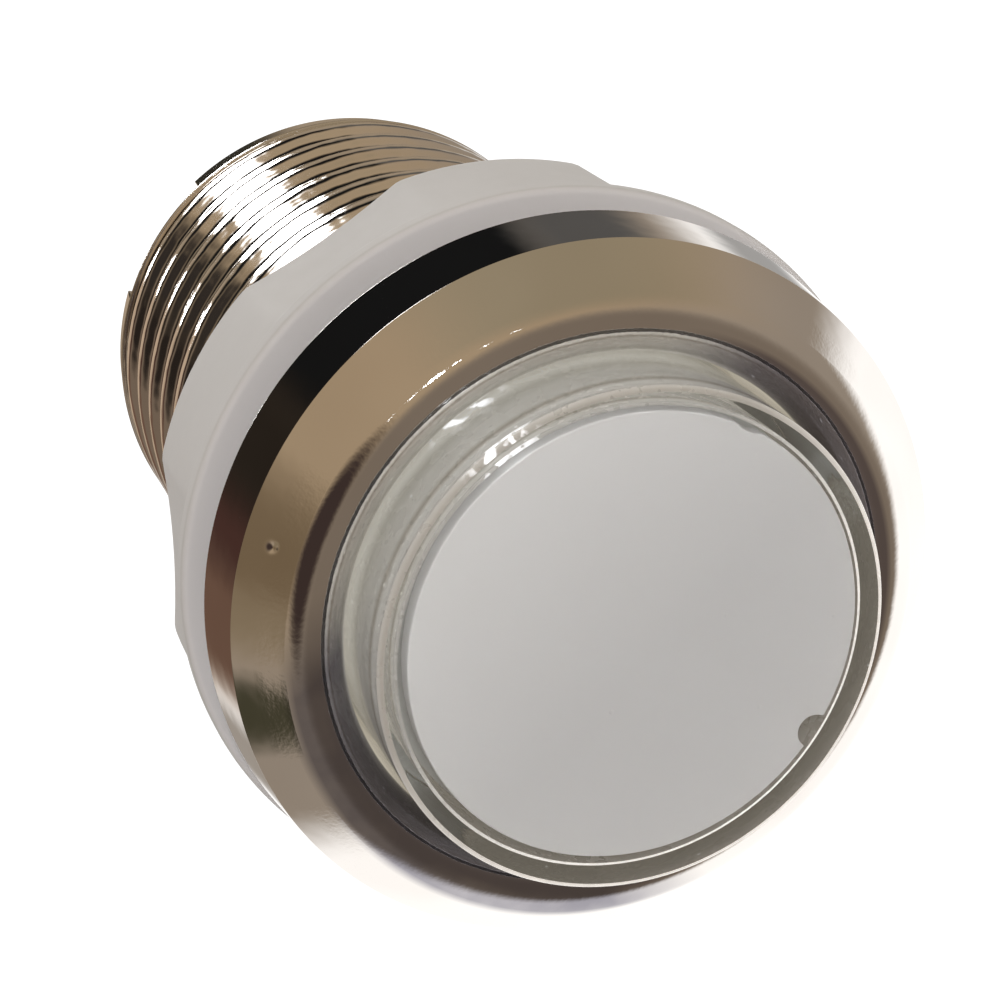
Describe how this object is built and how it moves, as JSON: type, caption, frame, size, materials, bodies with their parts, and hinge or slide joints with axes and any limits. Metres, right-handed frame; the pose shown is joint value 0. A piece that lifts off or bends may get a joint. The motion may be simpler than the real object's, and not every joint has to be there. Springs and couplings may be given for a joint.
{
  "type": "arcade push button",
  "caption": "Illuminated panel push button: clear plunger in a chrome bezel with a rounded lip on a threaded barrel, with a white clamping nut and a sprung plunger that works a snap switch.",
  "frame": {"origin": "on the button's axis, in the plane where the bezel sits on the panel", "axes": "+Z along the axis, out of the panel towards the player; -Y is the side that the picture shows"},
  "size_m": [0.0348, 0.0348, 0.0478],
  "materials": {
    "chrome_plating": "bright chrome plating on plastic",
    "nut_plastic": "satin off-white plastic",
    "clear_plastic": "clear polished plastic",
    "diffuser_plastic": "matt white diffuser plastic",
    "carrier_plastic": "milky moulded plastic",
    "spring_steel": "bright drawn wire",
    "insert_plastic": "black moulded plastic",
    "lamp_epoxy": "clear cast epoxy",
    "tinned_lead": "tinned wire",
    "terminal_brass": "stamped brass",
    "switch_plastic": "black moulded plastic",
    "switch_button_plastic": "red moulded plastic",
    "lever_steel": "stamped spring steel"
  },
  "bodies": {
    "body": {"housing": "chrome_plating", "return_spring": "spring_steel", "insert_base": "insert_plastic", "lamp_lens": "lamp_epoxy", "lamp_lead_left": "tinned_lead", "lamp_lead_right": "tinned_lead", "lamp_terminal_left": "terminal_brass", "lamp_terminal_right": "terminal_brass", "switch_case": "switch_plastic", "switch_cover": "switch_plastic", "switch_terminal_common": "terminal_brass", "switch_terminal_open": "terminal_brass", "switch_terminal_closed": "terminal_brass"},
    "plunger": {"plunger_cap": "clear_plastic", "diffuser_disc": "diffuser_plastic", "plunger_carrier": "carrier_plastic"},
    "nut": {"panel_nut": "nut_plastic"},
    "lever": {"switch_lever": "lever_steel"},
    "button": {"switch_button": "switch_button_plastic"},
    "blade": {"switch_blade": "terminal_brass"}
  },
  "joints": [
    {"name": "plunger_press", "type": "slide", "parent": "body", "child": "plunger", "axis": [0, 0, 1], "range_m": [-0.0025, 0], "stiffness_N_per_m": 110, "springref_m": 0.003, "deforming": ["return_spring"]},
    {"name": "nut_run", "type": "slide", "parent": "body", "child": "nut", "axis": [0, 0, 1], "range_m": [-0.026, 0.0023]},
    {"name": "lever_pivot", "type": "hinge", "parent": "body", "child": "lever", "pos_m": [-0.005, 0.0056, -0.01885], "axis": [0, 1, 0], "range_deg": [0, 17.2]},
    {"name": "button_slide", "type": "slide", "parent": "body", "child": "button", "axis": [0, 0, 1], "range_m": [-0.000526, 0]},
    {"name": "blade_rock", "type": "hinge", "parent": "body", "child": "blade", "pos_m": [0.0033, 0.0056, -0.02142], "axis": [0, 1, 0], "range_deg": [-4.64, 0]}
  ],
  "couplings": [
    {"joint": "lever_pivot", "follows": "plunger_press", "rad_per_m": -119.8},
    {"joint": "button_slide", "follows": "plunger_press", "ratio": 0.21013},
    {"joint": "blade_rock", "follows": "plunger_press", "rad_per_m": 32.327}
  ]
}
